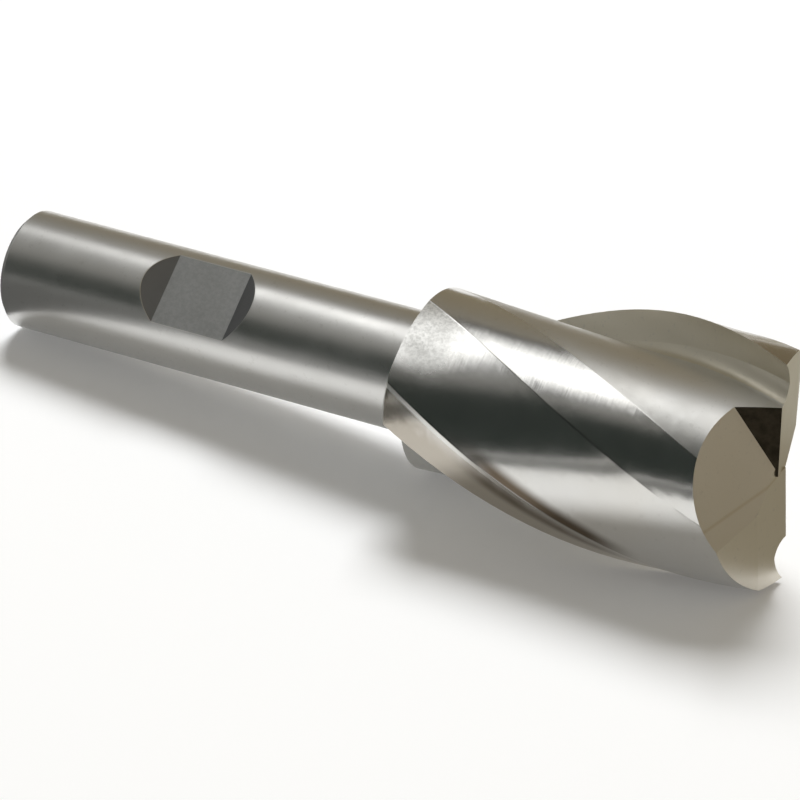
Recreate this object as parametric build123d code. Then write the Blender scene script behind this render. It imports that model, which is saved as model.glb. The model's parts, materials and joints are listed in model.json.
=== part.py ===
from build123d import *
from build123d.topology import SkipClean
import os
from math import atan2, cos, degrees, hypot, pi, radians, sin, tan

# A two-flute square end mill ground from one bar of high-speed steel: a slim
# straight shank with one clamping flat, and a much larger helical cutting head.
# It is shaped about its own axis, with the shank end at zero and the cutting
# end up, and is then laid down the way it comes to rest on a flat bench.
# Lengths are millimetres and angles are degrees.

# Overall sizes
overall_length = 88.0
shank_diameter = 12.7
cutter_diameter = 25.4
head_length = 38.6
shank_chamfer = 0.65
head_chamfer = 0.4

# Clamping flat on the shank, and how far the first end edge is turned past it
flat_centre = 23.1
flat_length = 8.5
flat_depth = 1.42
flat_wall_slope = 32.0
flat_to_edge = 146.0

# Flutes
helix_angle = 30.0
flute_depth = 4.5

# Section of a tooth. Each ridge has its angle behind the cutting edge and its
# drop below the full radius, and each face between ridges has its bulge.
land_angle = 19.0
land_drop = 0.2
land_bulge = 0.1
relief_angle = 72.0
relief_drop = 2.3
relief_bulge = 0.96
heel_angle = 107.0
heel_drop = 3.15
heel_bulge = 0.44
floor_angle = 175.0
floor_bulge = 1.49
rake_height = 3.0
rake_undercut = 1.3
rake_bulge = 0.25

# Grinding of the cutting end. Behind each end edge lies a narrow relief land,
# then a steeper relief, then the gash. They fall back from the edge and sink
# towards the axis by these angles from the square end plane.
end_relief = 6.9
end_dish = 1.7
end_land_width = 4.5
second_relief = 20.8
gash_fall_back = 26.6
gash_fall_inward = 21.8
gash_start = 0.35
gash_lean = 24.0
edge_lead = 0.8

# Search for the way it lies
contact_samples = 600
settling_rounds = 15

flute_count = 2
shank_radius = shank_diameter / 2
cutter_radius = cutter_diameter / 2
head_start = overall_length - head_length
tooth_pitch = 360 / flute_count
helix_lead = pi * cutter_diameter / tan(radians(helix_angle))
reach = 2 * overall_length

# The shank's round wall is kept as two lengths that meet in a seam just past the flat
flat_end = flat_centre + flat_length / 2 + flat_depth / tan(radians(flat_wall_slope))
shank_seam = flat_end + shank_chamfer


def behind_edge(radius, angle):
    """A point of the section, by its angle behind the first cutting edge."""
    return Vector(radius * cos(radians(angle)), -radius * sin(radians(angle)))


def bowed_arc(start, end, bulge, side):
    """An arc whose middle stands off its chord by bulge, towards the side vector."""
    chord = end - start
    across = Vector(-chord.Y, chord.X).normalized()
    if across.dot(side) < 0:
        across = -across
    return ThreePointArc(start, (start + end) * 0.5 + across * bulge, end)


def tooth_outline(turn):
    """The section from one cutting edge, over its back and along the flute to the next edge."""
    edge = behind_edge(cutter_radius, turn)
    land = behind_edge(cutter_radius - land_drop, turn + land_angle)
    relief = behind_edge(cutter_radius - relief_drop, turn + relief_angle)
    heel = behind_edge(cutter_radius - heel_drop, turn + heel_angle)
    root = behind_edge(cutter_radius - flute_depth, turn + floor_angle)
    hook_radius = hypot(cutter_radius - rake_height, rake_undercut)
    hook_angle = degrees(atan2(rake_undercut, cutter_radius - rake_height))
    hook = behind_edge(hook_radius, turn + tooth_pitch + hook_angle)
    next_edge = behind_edge(cutter_radius, turn + tooth_pitch)
    floor = bowed_arc(heel, root, floor_bulge, heel)
    return [
        bowed_arc(edge, land, land_bulge, edge),
        bowed_arc(land, relief, relief_bulge, relief),
        bowed_arc(relief, heel, heel_bulge, heel),
        floor,
        TangentArc(root, hook, tangent=floor % 1),
        bowed_arc(hook, next_edge, rake_bulge, behind_edge(1, turn + tooth_pitch + 90)),
    ]


def head_back():
    """Where the section starts, turned so that the first edge ends at angle zero."""
    return Pos(0, 0, head_start) * Rot(0, 0, -360 * head_length / helix_lead)


def fluted_head():
    """The section swept up the axis while it turns once per lead, ending edge on at the tip."""
    outline = []
    for flute in range(flute_count):
        outline += tooth_outline(flute * tooth_pitch)
    spine = Edge.make_line((0, 0, 0), (0, 0, head_length))
    guide = Edge.make_helix(helix_lead, head_length, cutter_radius)
    return head_back() * sweep(make_face(outline), path=spine, binormal=guide)


def head_envelope():
    """A blank around the head whose back corner is bevelled."""
    outer = cutter_radius + head_chamfer
    profile = Polyline(
        (0, head_start),
        (cutter_radius - head_chamfer, head_start),
        (outer, head_start + 2 * head_chamfer),
        (outer, overall_length),
        (0, overall_length),
        close=True,
    )
    return revolve(Plane.XZ * make_face(profile), Axis.Z)


def space_beyond(point, normal):
    """Everything on the far side of a plane, as a large block."""
    block = Box(reach, reach, reach, align=(Align.CENTER, Align.CENTER, Align.MIN))
    return Plane(origin=point, z_dir=normal) * block


def above_ground_plane(fall_back, fall_inward, drop_at_axis):
    """Everything above an end plane that falls behind the edge and towards the axis."""
    normal = (-tan(radians(fall_inward)), -tan(radians(fall_back)), 1)
    return space_beyond((0, 0, overall_length - drop_at_axis), normal)


def end_grinding():
    """What the wheel takes off behind the first end edge: two reliefs, then the gash."""
    dish_at_axis = cutter_radius * tan(radians(end_dish))
    land_fall = end_land_width * tan(radians(end_relief))
    second_start = dish_at_axis + land_fall - end_land_width * tan(radians(second_relief))
    ground = (
        above_ground_plane(end_relief, end_dish, dish_at_axis)
        + above_ground_plane(second_relief, end_dish, second_start)
        + above_ground_plane(gash_fall_back, gash_fall_inward, -gash_start)
    )
    lean = tan(radians(gash_lean))
    before_next_edge = space_beyond((0, -edge_lead, overall_length), (0, -1, lean))
    behind_this_edge = space_beyond((0, edge_lead, overall_length), (0, -1, -lean))
    this_side = space_beyond((0, 0, overall_length), (1, 0, 0))
    return ground & (before_next_edge + (behind_this_edge & this_side))


def clamping_flat():
    """The block that a cutter takes out of the shank, with sloping end walls."""
    top = shank_radius + flat_depth
    depth = top - (shank_radius - flat_depth)
    half_floor = flat_length / 2
    half_top = half_floor + depth / tan(radians(flat_wall_slope))
    profile = Polyline(
        (shank_radius - flat_depth, flat_centre - half_floor),
        (top, flat_centre - half_top),
        (top, flat_centre + half_top),
        (shank_radius - flat_depth, flat_centre + half_floor),
        close=True,
    )
    block = extrude(Plane.XZ * make_face(profile), shank_radius, both=True)
    return Rot(0, 0, -flat_to_edge) * block


def bar(start, end):
    """A length of the shank's round bar."""
    length = Cylinder(shank_radius, end - start, align=(Align.CENTER, Align.CENTER, Align.MIN))
    return Pos(0, 0, start) * length


def shank_with_flat():
    """The shank from its end up to the seam in its wall, chamfered and with the flat."""
    length = bar(0, shank_seam)
    end_rim = length.edges().filter_by(GeomType.CIRCLE).sort_by(Axis.Z)[0]
    return chamfer(end_rim, shank_chamfer) - clamping_flat()


def end_mill():
    """The whole tool. The last joint isn't cleaned, so that it keeps the seam in the shank's wall."""
    head = fluted_head() & head_envelope()
    grinding = end_grinding()
    for tooth in range(flute_count):
        head -= Rot(0, 0, tooth * tooth_pitch) * grinding
    held = shank_with_flat()
    rest = bar(shank_seam, head_start) + head
    with SkipClean():
        return held + rest


def points_along(curves):
    steps = [step / contact_samples for step in range(contact_samples + 1)]
    return [curve @ step for curve in curves for step in steps]


def bench_direction():
    """The direction that faces the bench, found from the three places that touch it.

    The tool lies on its shank end rim, on the back rim of the head and on the
    first cutting edge. Each round takes the lowest point of all three, and the
    plane through those points gives the next direction.
    """
    shank_rim = Pos(0, 0, shank_chamfer) * Edge.make_circle(shank_radius)
    back_rim = [head_back() * curve for curve in tooth_outline(tooth_pitch)]
    first_edge = head_back() * Edge.make_helix(helix_lead, head_length, cutter_radius)
    touching = [points_along([shank_rim]), points_along(back_rim), points_along([first_edge])]
    down = Vector(1, 0, 0)
    for round_number in range(settling_rounds):
        rim, back, edge = [max(curve, key=down.dot) for curve in touching]
        across = (back - rim).cross(edge - rim).normalized()
        down = across if across.dot(down) > 0 else -across
    return down


def laid_down(tool):
    """The tool at rest, pointing along X, with the middle of its box over the origin."""
    up = -bench_direction()
    axis = Vector(0, 0, 1)
    bench = Plane(origin=(0, 0, 0), x_dir=axis - up * axis.dot(up), z_dir=up)
    resting = bench.to_local_coords(tool)
    box = resting.bounding_box()
    return Pos(-box.center().X, -box.center().Y, -box.min.Z) * resting


os.makedirs("parts", exist_ok=True)
export_step(laid_down(end_mill()), "parts/end_mill.step")
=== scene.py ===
import json
from math import cos, pi, radians, sin, tan

import bpy
from mathutils import Matrix, Vector

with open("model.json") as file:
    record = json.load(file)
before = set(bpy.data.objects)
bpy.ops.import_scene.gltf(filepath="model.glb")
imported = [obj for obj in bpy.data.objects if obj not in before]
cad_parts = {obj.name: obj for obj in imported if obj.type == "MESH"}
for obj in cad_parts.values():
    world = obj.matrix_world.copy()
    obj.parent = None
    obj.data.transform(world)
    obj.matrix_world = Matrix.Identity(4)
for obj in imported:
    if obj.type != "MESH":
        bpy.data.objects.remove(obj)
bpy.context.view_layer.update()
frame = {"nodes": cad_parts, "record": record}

MM = 0.001


def rgb(red, green, blue):
    """An opaque colour in linear light."""
    return (red, green, blue, 1.0)


# The photograph's frame, in pixels, and the camera's lens for it
IMAGE_SIZE = 800
FOCAL_PIXELS = 4500
SENSOR_WIDTH = 36.0
SHANK_END_PIXEL = (29.4, 267.3)
PIXELS_PER_MM = 9.38
NEAREST_SEEN = 1 * MM

# How the tool lies in the picture, in degrees: how far it points towards the
# camera, how far it drops to the right, and how far the flat turns from the viewer
TOWARDS_CAMERA = 24.15
DROP_TO_RIGHT = 15.40
FLAT_TURN = 18.61

# The tool's own sizes, which place its finishes and its painted highlight and shade, with angles in
# degrees. The land, the relief and the heel end at their angles behind the cutting edge.
TOOL_LENGTH = 88.0 * MM
SHANK_RADIUS = 6.35 * MM
CUTTER_RADIUS = 12.7 * MM
HEAD_START = 49.4 * MM
HELIX_ANGLE = 30.0
TOOTH_PITCH = 180.0
EDGE_FROM_FLAT = 146.0
LAND_ANGLE = 19.0
RELIEF_ANGLE = 72.0
HEEL_ANGLE = 107.0
GASH_LENGTH = 8 * MM
GASH_LEAN = 24.0
TURN_PER_METRE = tan(radians(HELIX_ANGLE)) / CUTTER_RADIUS
# Round the tool, the flat lies at a quarter turn and the first edge ends EDGE_FROM_FLAT past it
TIP_ANGLE = radians(90.0 + EDGE_FROM_FLAT)

# Limits of the surfaces, in metres and in degrees behind the edge. A facing is how far a
# surface's normal points along the tool: one on a square end, nothing on the shank's wall.
EDGE_SOFTNESS = 0.06 * MM
FLAT_CLEARANCE = 6 * MM
FLAT_WALL_FACING = (0.08, 0.12)
END_FACING = (0.30, 0.36)
RAKE_FACING = (-0.6, -0.055)
CURVES_FACING = (-0.6, 0.35)
CURVES_SOFTNESS = 0.025
OUTSIDE_FACING = (0.0, 0.3)
OUTSIDE_SOFTNESS = 0.03
RIDGE_SOFTNESS = 1.0
RIDGE_LINE_REACH = 0.45
LAND_SOFTNESS = 0.5
# The margin's painted highlight: where it lies, and how it fades towards the tip
MARGIN_WIDTH = 2.4
MARGIN_SOFTNESS = 0.3
MARGIN_FADE = (HEAD_START + 6 * MM, HEAD_START + 24 * MM)
MARGIN_NEAR_TIP = 0.15
FROST_ONSET = (LAND_ANGLE + 6, LAND_ANGLE + 26)
FROST_WIDENING = 0.05 * MM
FROST_RAGGEDNESS = 4 * MM
FROST_SOFTNESS = 3 * MM
# Where the streak's painted dark reflection lies
STREAK_ANGLES = (LAND_ANGLE - 9, LAND_ANGLE + 6)
STREAK_SOFTNESS = 3.5
STREAK_LENGTH = (HEAD_START + 10 * MM, HEAD_START + 25 * MM)
STREAK_FADE = 3 * MM
END_LINE_ANGLE = 79.0
END_LINE_REACH = 0.14 * MM
# Where the painted shade in the gash lies
GASH_WALL_FADE = 1 * MM
GASH_WALL_TOLERANCE = 0.05
GASH_WALL_SOFTNESS = 0.02
AXIS_CLEARANCE = (0.5 * MM, 0.8 * MM)

# Finishes of the steel and its painted highlight and shade. Each surface has its colour and its
# roughness.
STEEL = rgb(0.74, 0.735, 0.715)
STEEL_WARM = rgb(0.72, 0.70, 0.655)
STEEL_DARK = rgb(0.50, 0.49, 0.46)
RAKE = rgb(0.77, 0.725, 0.61)
# A painted dark reflection on the land, darker than the steel
LAND_DARK_REFLECTION = rgb(0.50, 0.46, 0.40)
# A brown painted dark reflection along the land's edge
STREAK_DARK_REFLECTION = rgb(0.14, 0.11, 0.08)
END_FACE = rgb(0.74, 0.70, 0.62)
END_LINE = rgb(0.66, 0.60, 0.49)
MILLED = rgb(0.47, 0.475, 0.47)
MILLED_DARK = rgb(0.41, 0.415, 0.41)
# Painted shade on the flat's sloping end walls, darker and a little cooler than the flat
MILLED_WALL_SHADE = rgb(0.26, 0.265, 0.275)
FROSTED = rgb(0.92, 0.92, 0.90)
FROSTED_DARK = rgb(0.68, 0.68, 0.66)
# A painted highlight on the margin strip at the end of the land
MARGIN_HIGHLIGHT = rgb(0.86, 0.85, 0.82)
# Painted shade in thin lines along the ridges
RIDGE_SHADE = rgb(0.36, 0.35, 0.33)
# Near-black painted shade in the gash recess, paler in patches
GASH_WALL_SHADE = rgb(0.026, 0.021, 0.014)
GASH_WALL_PALE_SHADE = rgb(0.055, 0.045, 0.031)

SHANK_ROUGHNESS = 0.32
HEAD_ROUGHNESS = 0.19
FLUTE_ROUGHNESS = 0.40
END_ROUGHNESS = 0.32
FROSTED_ROUGHNESS = 0.42
MARGIN_ROUGHNESS = 0.35
GASH_WALL_ROUGHNESS = 0.5
POCKET_ROUGHNESS = 0.55
LEAST_SMEAR = 0.7
SMEAR_SPREAD = 0.6

# Patterns in the finishes and in the painted shade, and between which of a pattern's values it sets in
CLOUDS = dict(scale=90.0, detail=3.0, rough=0.5)
CLOUD_LIMITS = (0.35, 0.7)
CLOUD_STRENGTH = 0.6
SPECKS = dict(scale=1500.0, detail=2.0, rough=0.7)
SPECK_LIMITS = (0.60, 0.75)
SPECK_STRENGTH = 0.25
SPARKLE = dict(scale=2400.0, detail=3.0, rough=0.8)
SPARKLE_LIMITS = (0.38, 0.62)
# Patches in the gash's painted shade
GASH_SHADE_PATCHES = dict(scale=700.0, detail=3.0, rough=0.6)
GASH_SHADE_PATCH_LIMITS = (0.3, 0.75)
GRAINS = dict(scale=2000.0, detail=3.0, rough=0.75)
GRAIN_LIMITS = (0.35, 0.65)
# Breaks in the ridges' lines of painted shade
RIDGE_BREAKS = dict(scale=140.0, detail=3.0, rough=0.5)
RIDGE_BREAK_LIMITS = (0.40, 0.60)
RAGGED_EDGE = dict(scale=500.0, detail=4.0, rough=0.65)
SMEAR = dict(scale=260.0, detail=4.0, rough=0.6)

# Heights of the ground surfaces. Lines are a pattern that is stretched along one way.
BUMP_HEIGHT = 0.004 * MM
LINES = dict(scale=1.0, detail=3.0, rough=0.6)
BROAD_LINES = dict(scale=1.0, detail=2.0, rough=0.5)
LINES_PER_METRE = 4200.0
BROAD_LINES_PER_METRE = 1100.0
BROAD_LINES_TURN = 3.0
BROAD_LINES_HEIGHT = 1.4
FLUTE_LINES_TURN = 1.3
FLUTE_LINES_ALONG = 45.0
FLUTE_LINES_DEPTH = 1500.0
END_LINES_ACROSS = 3000.0
END_LINES_ALONG = 150.0
WAVES = dict(scale=330.0, detail=3.0, rough=0.55)
WAVE_HEIGHT = 3.5
MILLED_GRAIN = dict(scale=2600.0, detail=2.0, rough=0.6)
MOTTLE = dict(scale=900.0, detail=3.0, rough=0.7)
MOTTLE_HEIGHT = 3.0

# The floor, and the room's light by the direction that it comes from
FLOOR_SIZE = 12.0
FLOOR_COLOR = rgb(0.88, 0.88, 0.88)
FLOOR_ROUGHNESS = 0.9
FLOOR_GLOW = 0.13
WHITE = rgb(1.0, 1.0, 1.0)
BLACK = rgb(0.0, 0.0, 0.0)
WARM_COLOR = rgb(0.255, 0.215, 0.145)
ROOM_COLOR = rgb(0.240, 0.236, 0.220)
FRONT_COLOR = rgb(0.030, 0.036, 0.032)
WARM_SIDE = Vector((0.75, 0.66, 0))
WARM_LIMITS = (-0.2, 0.4)
FRONT_SIDE = Vector((0, -1, 0))
FRONT_LIMITS = (0.50, 0.72)

# The lamps. The softbox fades between these distances from its middle, where its edge is at a half.
FLOOR_LAMP_PLACE = Vector((-0.91, 1.61, 2.37))
FLOOR_LAMP_SIZE = 1.25
FLOOR_LAMP_COLOR = (0.965, 0.98, 1.0)
FLOOR_LAMP_RADIANCE = 19.5
SOFTBOX_PLACE = (-0.20, -0.04, 0.60)
SOFTBOX_LENGTH = 0.80
SOFTBOX_WIDTH = 0.34
SOFTBOX_TURN = 124.0
SOFTBOX_COLOR = rgb(1.0, 1.0, 0.99)
SOFTBOX_RADIANCE = 2.3
SOFTBOX_FADE_ALONG = (0.32, 0.5)
SOFTBOX_FADE_ACROSS = (0.02, 0.5)

# Cards just past the left, lower and right edges of the picture, in pixels
CARD_HEIGHT = 0.1 * MM
CARD_GAP = 5
CARD_REACH = 3000
CARD_SPLIT = 470
CARD_DARK = rgb(0.125, 0.125, 0.12)
CARD_KHAKI = rgb(0.29, 0.262, 0.20)
CARD_BEIGE = rgb(0.46, 0.44, 0.37)


def mount(name):
    """A mount's place and outward direction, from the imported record."""
    for entry in frame["record"]["mounts"]:
        if entry["name"] == name:
            return Vector(entry["pos_m"]), Vector(entry["axis"]).normalized()
    raise KeyError(name)


shank_end, shank_direction = mount("shank_end")
flat_normal = mount("clamping_flat")[1]
tool_axis = -shank_direction
tool_side = flat_normal.cross(tool_axis)


def picture_to_frame():
    """Turns directions in the picture, right, down and away from the viewer, into the frame's."""
    tilt, slope, roll = radians(TOWARDS_CAMERA), radians(DROP_TO_RIGHT), radians(FLAT_TURN)
    axis = Vector((cos(tilt) * cos(slope), cos(tilt) * sin(slope), -sin(tilt)))
    viewer = Vector((0, 0, -1))
    facing = (viewer - axis * viewer.dot(axis)).normalized()
    normal = facing * cos(roll) + facing.cross(axis) * sin(roll)
    in_picture = Matrix((normal.cross(axis), normal, axis)).transposed()
    in_frame = Matrix((tool_side, flat_normal, tool_axis)).transposed()
    return in_frame @ in_picture.transposed()


def make_camera():
    """A camera that sees the tool as the photograph does."""
    to_frame = picture_to_frame()
    right, down, away = to_frame.col[0], to_frame.col[1], to_frame.col[2]
    middle = IMAGE_SIZE / 2
    end_in_picture = Vector((
        (SHANK_END_PIXEL[0] - middle) / PIXELS_PER_MM * MM,
        (SHANK_END_PIXEL[1] - middle) / PIXELS_PER_MM * MM,
        FOCAL_PIXELS / PIXELS_PER_MM * MM,
    ))
    camera = bpy.data.objects.new("Camera", bpy.data.cameras.new("Camera"))
    camera.data.sensor_width = SENSOR_WIDTH
    camera.data.lens = FOCAL_PIXELS / IMAGE_SIZE * SENSOR_WIDTH
    camera.data.clip_start = NEAREST_SEEN
    turn = Matrix((right, -down, -away)).transposed().to_4x4()
    camera.matrix_world = Matrix.Translation(shank_end - to_frame @ end_in_picture) @ turn
    bpy.context.scene.collection.objects.link(camera)
    bpy.context.scene.camera = camera
    return camera


# Shader nodes

# Where the mix node has its first value, its second value and its result, by kind
MIX_SOCKETS = {"FLOAT": (2, 3, 0), "RGBA": (6, 7, 2)}


def join(tree, value, socket):
    """Links an output to a socket, or sets the socket to a plain value."""
    if isinstance(value, bpy.types.NodeSocket):
        tree.links.new(value, socket)
    elif isinstance(value, Vector):
        socket.default_value = tuple(value)
    else:
        socket.default_value = value


def calculate(tree, operation, *values):
    """One step of arithmetic on numbers."""
    node = tree.nodes.new("ShaderNodeMath")
    node.operation = operation
    for value, socket in zip(values, node.inputs):
        join(tree, value, socket)
    return node.outputs[0]


def product(tree, first, second):
    """Two numbers multiplied. For masks it is where both of them hold."""
    return calculate(tree, "MULTIPLY", first, second)


def dot(tree, first, second):
    """How far one direction or place reaches along another."""
    node = tree.nodes.new("ShaderNodeVectorMath")
    node.operation = "DOT_PRODUCT"
    join(tree, first, node.inputs[0])
    join(tree, second, node.inputs[1])
    return node.outputs["Value"]


def difference(tree, first, second):
    """The way from the second place to the first."""
    node = tree.nodes.new("ShaderNodeVectorMath")
    node.operation = "SUBTRACT"
    join(tree, first, node.inputs[0])
    join(tree, second, node.inputs[1])
    return node.outputs["Vector"]


def combine(tree, x, y, z):
    """A place from its three numbers."""
    node = tree.nodes.new("ShaderNodeCombineXYZ")
    for value, socket in zip((x, y, z), node.inputs):
        join(tree, value, socket)
    return node.outputs[0]


def ramp(tree, value, start, end, low=0.0, high=1.0):
    """A smooth change from low to high while value goes from start to end."""
    node = tree.nodes.new("ShaderNodeMapRange")
    node.interpolation_type = "SMOOTHSTEP"
    for name, given in (("Value", value), ("From Min", start), ("From Max", end)):
        join(tree, given, node.inputs[name])
    join(tree, low, node.inputs["To Min"])
    join(tree, high, node.inputs["To Max"])
    return node.outputs["Result"]


def band(tree, value, start, end, soft):
    """One between start and end, changing over soft to either side of each."""
    rise = ramp(tree, value, start - soft, start + soft)
    fall = ramp(tree, value, end - soft, end + soft, 1.0, 0.0)
    return product(tree, rise, fall)


def noise(tree, place, scale, detail, rough):
    """A cloudy pattern between nothing and one."""
    node = tree.nodes.new("ShaderNodeTexNoise")
    join(tree, place, node.inputs["Vector"])
    node.inputs["Scale"].default_value = scale
    node.inputs["Detail"].default_value = detail
    node.inputs["Roughness"].default_value = rough
    return node.outputs[0]


def patches(tree, at, pattern, limits):
    """Where a pattern on the tool sets in."""
    return ramp(tree, noise(tree, at["place"], **pattern), *limits)


def blend(tree, kind, factor, first, second):
    """The first value where factor is nothing, and the second where it is one."""
    first_input, second_input, result = MIX_SOCKETS[kind]
    node = tree.nodes.new("ShaderNodeMix")
    node.data_type = kind
    join(tree, factor, node.inputs[0])
    join(tree, first, node.inputs[first_input])
    join(tree, second, node.inputs[second_input])
    return node.outputs[result]


def blend_number(tree, factor, first, second):
    """A blend of two numbers."""
    return blend(tree, "FLOAT", factor, first, second)


def blend_color(tree, factor, first, second):
    """A blend of two colours."""
    return blend(tree, "RGBA", factor, first, second)


# The steel


def tool_coordinates(tree):
    """Places on the tool: along it, out from its axis, round it, and behind the edge."""
    texture = tree.nodes.new("ShaderNodeTexCoord")
    place = difference(tree, texture.outputs["Object"], shank_end)
    along = dot(tree, place, tool_axis)
    side = dot(tree, place, tool_side)
    front = dot(tree, place, flat_normal)
    square = calculate(tree, "ADD", product(tree, side, side), product(tree, front, front))
    angle = calculate(tree, "ARCTAN2", front, side)
    turn_at_shank_end = TIP_ANGLE - TURN_PER_METRE * TOOL_LENGTH
    turned = calculate(tree, "MULTIPLY_ADD", along, TURN_PER_METRE, turn_at_shank_end)
    behind = calculate(tree, "SUBTRACT", turned, angle)
    share = calculate(tree, "FRACT", calculate(tree, "DIVIDE", behind, radians(TOOTH_PITCH)))
    return {
        "place": place,
        "along": along,
        "side": side,
        "front": front,
        "radius": calculate(tree, "SQRT", square),
        "angle": angle,
        "behind": product(tree, share, TOOTH_PITCH),
        "facing": dot(tree, texture.outputs["Normal"], tool_axis),
    }


def pocket_masks(tree, at):
    """The whole milled flat, and its two sloping end walls, which get painted shade."""
    rim = SHANK_RADIUS - EDGE_SOFTNESS / 2
    inside_bar = ramp(tree, at["radius"], SHANK_RADIUS - EDGE_SOFTNESS, rim, 1.0, 0.0)
    on_shank = band(tree, at["along"], FLAT_CLEARANCE, HEAD_START - FLAT_CLEARANCE, EDGE_SOFTNESS)
    pocket = product(tree, inside_bar, on_shank)
    sloping = ramp(tree, calculate(tree, "ABSOLUTE", at["facing"]), *FLAT_WALL_FACING)
    return pocket, product(tree, pocket, sloping)


def flute_masks(tree, at, curves):
    """The whole flute, and its rake face, which is told from the land by its lean."""
    rake = band(tree, at["facing"], *RAKE_FACING, CURVES_SOFTNESS)
    past_heel = ramp(tree, at["behind"], HEEL_ANGLE - RIDGE_SOFTNESS, HEEL_ANGLE + RIDGE_SOFTNESS)
    return calculate(tree, "MAXIMUM", product(tree, curves, past_heel), rake), rake


def margin_highlight_mask(tree, at):
    """A painted highlight on a strip at the end of the land, fading towards the tip."""
    margin_highlight = band(tree, at["behind"], LAND_ANGLE - MARGIN_WIDTH, LAND_ANGLE, MARGIN_SOFTNESS)
    return product(tree, margin_highlight, ramp(tree, at["along"], *MARGIN_FADE, 1.0, MARGIN_NEAR_TIP))


def frost_mask(tree, at):
    """A ragged patch at the head's back rim that reaches further up the relief."""
    widening = calculate(tree, "MULTIPLY_ADD", at["behind"], FROST_WIDENING, HEAD_START)
    rough_edge = noise(tree, at["place"], **RAGGED_EDGE)
    ragged = calculate(tree, "MULTIPLY_ADD", rough_edge, FROST_RAGGEDNESS, widening)
    beyond = calculate(tree, "SUBTRACT", at["along"], ragged)
    frost = ramp(tree, beyond, -FROST_SOFTNESS, FROST_SOFTNESS, 1.0, 0.0)
    below_ridge = ramp(tree, at["behind"], RELIEF_ANGLE - RIDGE_SOFTNESS, RELIEF_ANGLE, 1.0, 0.0)
    relief = product(tree, below_ridge, ramp(tree, at["behind"], *FROST_ONSET))
    return product(tree, frost, relief)


def ridge_shade_mask(tree, at):
    """Thin lines of painted shade along the two ridges of a tooth's back, broken into patches."""
    lines = [
        band(tree, at["behind"], ridge - RIDGE_LINE_REACH, ridge + RIDGE_LINE_REACH, RIDGE_LINE_REACH)
        for ridge in (RELIEF_ANGLE, LAND_ANGLE)
    ]
    return product(tree, calculate(tree, "ADD", *lines), patches(tree, at, RIDGE_BREAKS, RIDGE_BREAK_LIMITS))


def land_reflection_mask(tree, at):
    """The narrow land just behind the cutting edge, which gets a painted dark reflection."""
    return ramp(tree, at["behind"], LAND_ANGLE - LAND_SOFTNESS, LAND_ANGLE + LAND_SOFTNESS, 1.0, 0.0)


def streak_reflection_mask(tree, at):
    """A brown painted dark reflection along the line where the land meets the relief."""
    beside_land = band(tree, at["behind"], *STREAK_ANGLES, STREAK_SOFTNESS)
    return product(tree, beside_land, band(tree, at["along"], *STREAK_LENGTH, STREAK_FADE))


def gash_wall_shade_mask(tree, at):
    """The leaning wall that the gash leaves beside the axis, which gets near-black painted shade."""
    facing = sin(radians(GASH_LEAN))
    least, most = facing - GASH_WALL_TOLERANCE, facing + GASH_WALL_TOLERANCE
    leaning = band(tree, at["facing"], least, most, GASH_WALL_SOFTNESS)
    off_axis = ramp(tree, at["radius"], *AXIS_CLEARANCE)
    gash_start = TOOL_LENGTH - GASH_LENGTH
    near_tip = ramp(tree, at["along"], gash_start, gash_start + GASH_WALL_FADE)
    return product(tree, near_tip, product(tree, off_axis, leaning))


def end_line_mask(tree, at):
    """A faint straight line on each tooth's ground end, from the axis outwards."""
    turned = calculate(tree, "SUBTRACT", TIP_ANGLE - radians(END_LINE_ANGLE), at["angle"])
    offset = product(tree, at["radius"], calculate(tree, "SINE", turned))
    return band(tree, offset, -END_LINE_REACH, END_LINE_REACH, END_LINE_REACH)


def surface_masks(tree, at):
    """How far a point belongs to each of the tool's surfaces and painted marks of light and shade,
    from 0 to 1.
    """
    head = ramp(tree, at["along"], HEAD_START - EDGE_SOFTNESS, HEAD_START + EDGE_SOFTNESS)
    end_face = ramp(tree, at["facing"], *END_FACING)
    curves = band(tree, at["facing"], *CURVES_FACING, CURVES_SOFTNESS)
    head_curves = product(tree, head, curves)
    outside = product(tree, head, band(tree, at["facing"], *OUTSIDE_FACING, OUTSIDE_SOFTNESS))
    pocket, pocket_wall_shade = pocket_masks(tree, at)
    flute, rake = flute_masks(tree, at, curves)
    return {
        "head": head,
        "tip": product(tree, head, end_face),
        "pocket": pocket,
        "pocket_wall_shade": pocket_wall_shade,
        "flute": product(tree, head, flute),
        "rake": product(tree, head, rake),
        "land": product(tree, outside, land_reflection_mask(tree, at)),
        "streak": product(tree, outside, streak_reflection_mask(tree, at)),
        "ridge": product(tree, outside, ridge_shade_mask(tree, at)),
        "margin_highlight": product(tree, head_curves, margin_highlight_mask(tree, at)),
        "frost": product(tree, head_curves, frost_mask(tree, at)),
        "gash_wall_shade": gash_wall_shade_mask(tree, at),
        "end_line": product(tree, end_face, end_line_mask(tree, at)),
    }


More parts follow.
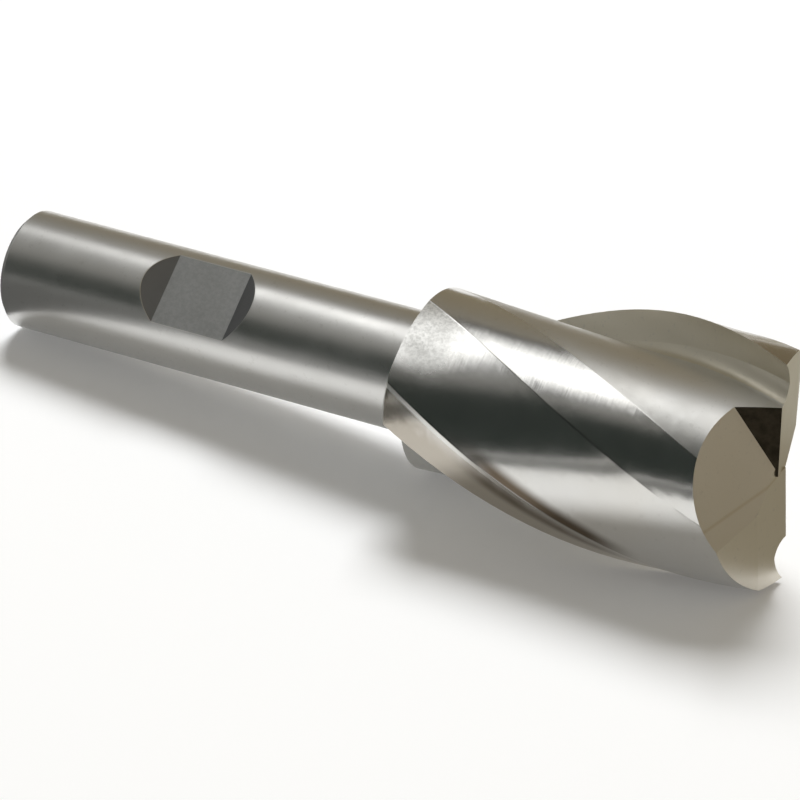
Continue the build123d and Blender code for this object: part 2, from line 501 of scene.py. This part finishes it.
def steel_color(tree, at, masks):
    """Bright steel, warm in clouds on the head, with each surface's own colour, painted highlight and
    painted shade laid over it.
    """
    clouds = product(tree, patches(tree, at, CLOUDS, CLOUD_LIMITS), CLOUD_STRENGTH)
    color = blend_color(tree, product(tree, masks["head"], clouds), STEEL, STEEL_WARM)
    # The land's colour is a painted dark reflection; the rake, tip and end line colours are the
    # steel's own.
    for surface, layer_color in (("rake", RAKE), ("land", LAND_DARK_REFLECTION), ("tip", END_FACE), ("end_line", END_LINE)):
        color = blend_color(tree, masks[surface], color, layer_color)
    specks = product(tree, patches(tree, at, SPECKS, SPECK_LIMITS), SPECK_STRENGTH)
    color = blend_color(tree, specks, color, STEEL_DARK)
    frosted = blend_color(tree, patches(tree, at, SPARKLE, SPARKLE_LIMITS), FROSTED_DARK, FROSTED)
    gash_wall_shade = blend_color(tree, patches(tree, at, GASH_SHADE_PATCHES, GASH_SHADE_PATCH_LIMITS), GASH_WALL_SHADE, GASH_WALL_PALE_SHADE)
    milled = blend_color(tree, patches(tree, at, GRAINS, GRAIN_LIMITS), MILLED_DARK, MILLED)
    # Painted highlight on the margin, painted dark reflection on the streak, painted shade on the
    # ridges, gash wall and the flat's end walls; frost and flat colours are the steel's own.
    for surface, layer_color in (
        ("frost", frosted),
        ("margin_highlight", MARGIN_HIGHLIGHT),
        ("streak", STREAK_DARK_REFLECTION),
        ("ridge", RIDGE_SHADE),
        ("gash_wall_shade", gash_wall_shade),
        ("pocket", milled),
        ("pocket_wall_shade", MILLED_WALL_SHADE),
    ):
        color = blend_color(tree, masks[surface], color, layer_color)
    return color


def steel_roughness(tree, at, masks):
    """The roughness of each surface, a little smeared all over."""
    value = SHANK_ROUGHNESS
    for surface, roughness in (
        ("head", HEAD_ROUGHNESS),
        ("flute", FLUTE_ROUGHNESS),
        ("tip", END_ROUGHNESS),
        ("frost", FROSTED_ROUGHNESS),
        ("margin_highlight", MARGIN_ROUGHNESS),
        ("gash_wall_shade", GASH_WALL_ROUGHNESS),
        ("pocket", POCKET_ROUGHNESS),
    ):
        value = blend_number(tree, masks[surface], value, roughness)
    smear = noise(tree, at["place"], **SMEAR)
    return product(tree, value, calculate(tree, "MULTIPLY_ADD", smear, SMEAR_SPREAD, LEAST_SMEAR))


def lines_around(tree, at):
    """Fine and broad lines round the tool. Sine and cosine close them, so that there is no seam."""
    cosine = calculate(tree, "COSINE", at["angle"])
    sine = calculate(tree, "SINE", at["angle"])
    fine_place = combine(tree, product(tree, at["along"], LINES_PER_METRE), cosine, sine)
    broad_place = combine(
        tree,
        product(tree, at["along"], BROAD_LINES_PER_METRE),
        product(tree, cosine, BROAD_LINES_TURN),
        product(tree, sine, BROAD_LINES_TURN),
    )
    fine = noise(tree, fine_place, **LINES)
    broad = noise(tree, broad_place, **BROAD_LINES)
    return calculate(tree, "MULTIPLY_ADD", broad, BROAD_LINES_HEIGHT, fine)


def lines_along_flute(tree, at):
    """Lines that follow the helix of the flute."""
    place = combine(
        tree,
        product(tree, at["behind"], FLUTE_LINES_TURN),
        product(tree, at["along"], FLUTE_LINES_ALONG),
        product(tree, at["radius"], FLUTE_LINES_DEPTH),
    )
    return noise(tree, place, **LINES)


def lines_across_end(tree, at):
    """Straight lines over the ground end."""
    across = product(tree, at["front"], END_LINES_ACROSS)
    along = product(tree, at["side"], END_LINES_ALONG)
    return noise(tree, combine(tree, across, along, 0.0), **LINES)


def grinding_height(tree, at, masks):
    """Grinding lines with slight waves on the head, grain in the flat and mottle on the frost."""
    height = blend_number(tree, masks["flute"], lines_around(tree, at), lines_along_flute(tree, at))
    waves = product(tree, masks["head"], noise(tree, at["place"], **WAVES))
    height = calculate(tree, "MULTIPLY_ADD", waves, WAVE_HEIGHT, height)
    height = blend_number(tree, masks["tip"], height, lines_across_end(tree, at))
    height = blend_number(tree, masks["pocket"], height, noise(tree, at["place"], **MILLED_GRAIN))
    mottle = product(tree, noise(tree, at["place"], **MOTTLE), MOTTLE_HEIGHT)
    return blend_number(tree, masks["frost"], height, mottle)


def new_material(name):
    """A material with its shader, ready to be joined up."""
    material = bpy.data.materials.new(name)
    material.use_nodes = True
    return material, material.node_tree.nodes["Principled BSDF"]


def make_steel():
    """The ground steel of the whole tool."""
    material, shader = new_material("ground_steel")
    tree = material.node_tree
    at = tool_coordinates(tree)
    masks = surface_masks(tree, at)
    shader.inputs["Metallic"].default_value = 1.0
    join(tree, steel_color(tree, at, masks), shader.inputs["Base Color"])
    join(tree, steel_roughness(tree, at, masks), shader.inputs["Roughness"])
    bump = tree.nodes.new("ShaderNodeBump")
    bump.inputs["Strength"].default_value = 1.0
    bump.inputs["Distance"].default_value = BUMP_HEIGHT
    join(tree, grinding_height(tree, at, masks), bump.inputs["Height"])
    join(tree, bump.outputs["Normal"], shader.inputs["Normal"])
    return material


# The studio


def seen_directly(tree):
    """One for what the camera sees, and what metal or glass shows of it."""
    path = tree.nodes.new("ShaderNodeLightPath")
    seen = calculate(tree, "MAXIMUM", path.outputs["Is Camera Ray"], path.outputs["Is Glossy Ray"])
    return calculate(tree, "MAXIMUM", seen, path.outputs["Is Transmission Ray"])


def make_floor():
    """A white floor that keeps the tool's shadow."""
    bpy.ops.mesh.primitive_plane_add(size=FLOOR_SIZE)
    floor = bpy.context.object
    floor.name = "floor"
    material, shader = new_material("floor_white")
    tree = material.node_tree
    shader.inputs["Base Color"].default_value = FLOOR_COLOR
    shader.inputs["Roughness"].default_value = FLOOR_ROUGHNESS
    shader.inputs["Specular IOR Level"].default_value = 0.0
    shader.inputs["Emission Color"].default_value = WHITE
    join(tree, product(tree, seen_directly(tree), FLOOR_GLOW), shader.inputs["Emission Strength"])
    floor.data.materials.append(material)


def make_room():
    """A dim room, brown behind the tool and to its right, and nearly black in front of it."""
    world = bpy.data.worlds.new("studio")
    bpy.context.scene.world = world
    world.use_nodes = True
    tree = world.node_tree
    direction = tree.nodes.new("ShaderNodeTexCoord").outputs["Generated"]
    warm = ramp(tree, dot(tree, direction, WARM_SIDE), *WARM_LIMITS)
    front = ramp(tree, dot(tree, direction, FRONT_SIDE), *FRONT_LIMITS)
    color = blend_color(tree, front, blend_color(tree, warm, ROOM_COLOR, WARM_COLOR), FRONT_COLOR)
    join(tree, color, tree.nodes["Background"].inputs["Color"])
    tree.nodes["Background"].inputs["Strength"].default_value = 1.0


def make_floor_lamp():
    """A lamp behind on the left that throws the tool's shadow forward. The steel doesn't show it."""
    lamp = bpy.data.lights.new("floor_lamp", "AREA")
    lamp.size = FLOOR_LAMP_SIZE
    lamp.energy = FLOOR_LAMP_RADIANCE * pi * FLOOR_LAMP_SIZE**2
    lamp.color = FLOOR_LAMP_COLOR
    holder = bpy.data.objects.new("floor_lamp", lamp)
    holder.location = FLOOR_LAMP_PLACE
    holder.rotation_euler = (-FLOOR_LAMP_PLACE).to_track_quat("-Z", "Y").to_euler()
    holder.visible_glossy = False
    bpy.context.scene.collection.objects.link(holder)


def glowing_material(name, color):
    """A material that gives off light and is black otherwise."""
    material, shader = new_material(name)
    shader.inputs["Base Color"].default_value = BLACK
    shader.inputs["Specular IOR Level"].default_value = 0.0
    shader.inputs["Emission Color"].default_value = color
    shader.inputs["Emission Strength"].default_value = 1.0
    return material, shader


def hide_from(thing, kinds):
    """Keeps a thing out of what these kinds of rays see."""
    for kind in kinds:
        setattr(thing, "visible_" + kind, False)


def make_softbox():
    """A long softbox above the tool, brightest in its middle. Only reflections show it."""
    bpy.ops.mesh.primitive_plane_add(size=1.0, location=SOFTBOX_PLACE)
    softbox = bpy.context.object
    softbox.name = "softbox"
    softbox.scale = (SOFTBOX_LENGTH, SOFTBOX_WIDTH, 1)
    softbox.rotation_euler = (0, 0, radians(SOFTBOX_TURN))
    material, shader = glowing_material("softbox", SOFTBOX_COLOR)
    tree = material.node_tree
    split = tree.nodes.new("ShaderNodeSeparateXYZ")
    join(tree, tree.nodes.new("ShaderNodeTexCoord").outputs["Object"], split.inputs[0])
    from_middle = calculate(tree, "ABSOLUTE", split.outputs["X"])
    along = ramp(tree, from_middle, *SOFTBOX_FADE_ALONG, SOFTBOX_RADIANCE, 0.0)
    from_middle = calculate(tree, "ABSOLUTE", split.outputs["Y"])
    across = ramp(tree, from_middle, *SOFTBOX_FADE_ACROSS, 1.0, 0.0)
    join(tree, product(tree, along, across), shader.inputs["Emission Strength"])
    softbox.data.materials.append(material)
    hide_from(softbox, ("camera", "diffuse", "shadow"))


def floor_beyond(camera, across, down):
    """Where the line of sight at a pixel of the picture, or past its edge, meets the floor."""
    middle = IMAGE_SIZE / 2
    sight = Vector(((across - middle) / FOCAL_PIXELS, (middle - down) / FOCAL_PIXELS, -1))
    direction = camera.matrix_world.to_3x3() @ sight
    eye = camera.matrix_world.translation
    return eye - direction * (eye.z / direction.z)


def make_card(name, camera, left_right, top_bottom, color):
    """A card on the floor outside the picture, given by the pixels that it would cover.

    Only reflections show it. Inside the picture the steel shows the white floor.
    """
    left, right = left_right
    top, bottom = top_bottom
    pixels = ((left, bottom), (right, bottom), (right, top), (left, top))
    corners = [floor_beyond(camera, *pixel) for pixel in pixels]
    mesh = bpy.data.meshes.new(name)
    mesh.from_pydata([(corner.x, corner.y, CARD_HEIGHT) for corner in corners], [], [(0, 1, 2, 3)])
    card = bpy.data.objects.new(name, mesh)
    mesh.materials.append(glowing_material(name, color)[0])
    hide_from(card, ("camera", "diffuse", "transmission", "volume_scatter", "shadow"))
    bpy.context.scene.collection.objects.link(card)


def make_cards(camera):
    """Dark cards to the left and in front, and lighter ones to the right."""
    low_edge = -CARD_GAP
    high_edge = IMAGE_SIZE + CARD_GAP
    far_edge = high_edge + CARD_REACH
    make_card("left_card", camera, (low_edge - CARD_REACH, low_edge), (0, far_edge), CARD_DARK)
    make_card("front_card", camera, (low_edge, far_edge), (high_edge, far_edge), CARD_DARK)
    make_card("right_card", camera, (high_edge, far_edge), (CARD_SPLIT, high_edge), CARD_KHAKI)
    make_card("back_right_card", camera, (high_edge, far_edge), (-IMAGE_SIZE, CARD_SPLIT), CARD_BEIGE)


camera = make_camera()
make_floor()
make_room()
for slot in frame["nodes"]["end_mill"].material_slots:
    slot.material = make_steel()
make_cards(camera)
make_softbox()
make_floor_lamp()

bpy.context.scene.view_settings.view_transform = "Standard"
